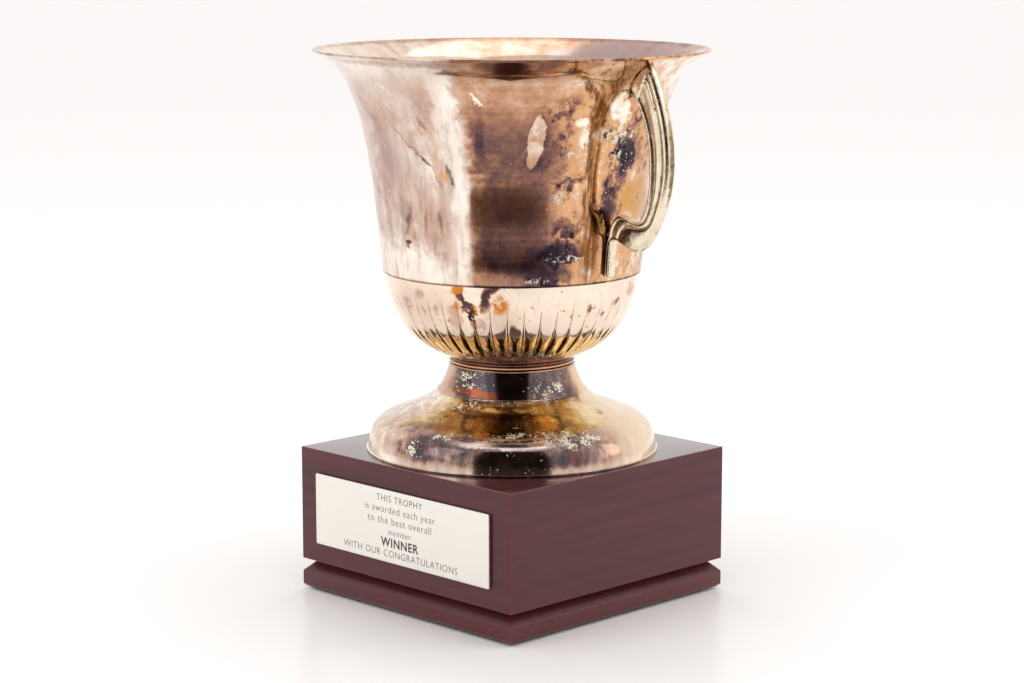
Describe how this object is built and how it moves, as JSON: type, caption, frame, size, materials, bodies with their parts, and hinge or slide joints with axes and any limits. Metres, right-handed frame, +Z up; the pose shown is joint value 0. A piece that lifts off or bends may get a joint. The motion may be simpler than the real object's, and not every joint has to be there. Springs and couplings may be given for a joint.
{
  "type": "cup trophy",
  "caption": "Presentation cup trophy: a flared metal cup with reeded side handles and a fluted bowl, on a round foot bolted to a square wooden plinth with a name plate.",
  "frame": {"origin": "centre of the underside of the felt pad, on the surface that the trophy stands on", "axes": "+Z up along the cup's axis and the longest extent, -Y towards the name plate, +X towards one handle"},
  "size_m": [0.2118, 0.1954, 0.2728],
  "materials": {
    "tarnished_silver": "silver plate over brass, polished, with purple-brown and orange tarnish",
    "bowl_silver": "polished silver plate over brass, pale champagne with a few stains",
    "collar_metal": "turned and polished, darkened in its grooves",
    "foot_metal": "silver plate over brass, mottled brown and gold tarnish with pale spots",
    "handle_metal": "cast, polished, dark in the grooves",
    "zinc_steel": "zinc plated",
    "red_lacquered_wood": "dark red mahogany stain under satin lacquer",
    "plain_softwood": "unfinished, sawn",
    "green_felt": "pressed felt",
    "plate_metal": "satin, warm silver",
    "adhesive_pad": "thin dark foam tape"
  },
  "bodies": {
    "root": {"cup_body": "tarnished_silver", "fluted_bowl": "bowl_silver", "neck_collar": "collar_metal", "foot_shell": "foot_metal", "handle_right": "handle_metal", "handle_left": "handle_metal", "handle_screws": "zinc_steel", "handle_washers": "zinc_steel", "tie_bolt": "zinc_steel", "bowl_washer": "zinc_steel", "plinth_washer": "zinc_steel", "lock_washer": "zinc_steel", "tie_nut": "zinc_steel", "top_board": "red_lacquered_wood", "front_board": "red_lacquered_wood", "right_board": "red_lacquered_wood", "back_board": "red_lacquered_wood", "left_board": "red_lacquered_wood", "corner_posts": "plain_softwood", "base_slab": "red_lacquered_wood", "slab_screws": "zinc_steel", "felt_pad": "green_felt", "plaque": "plate_metal", "plaque_pad": "adhesive_pad"}
  },
  "joints": []
}
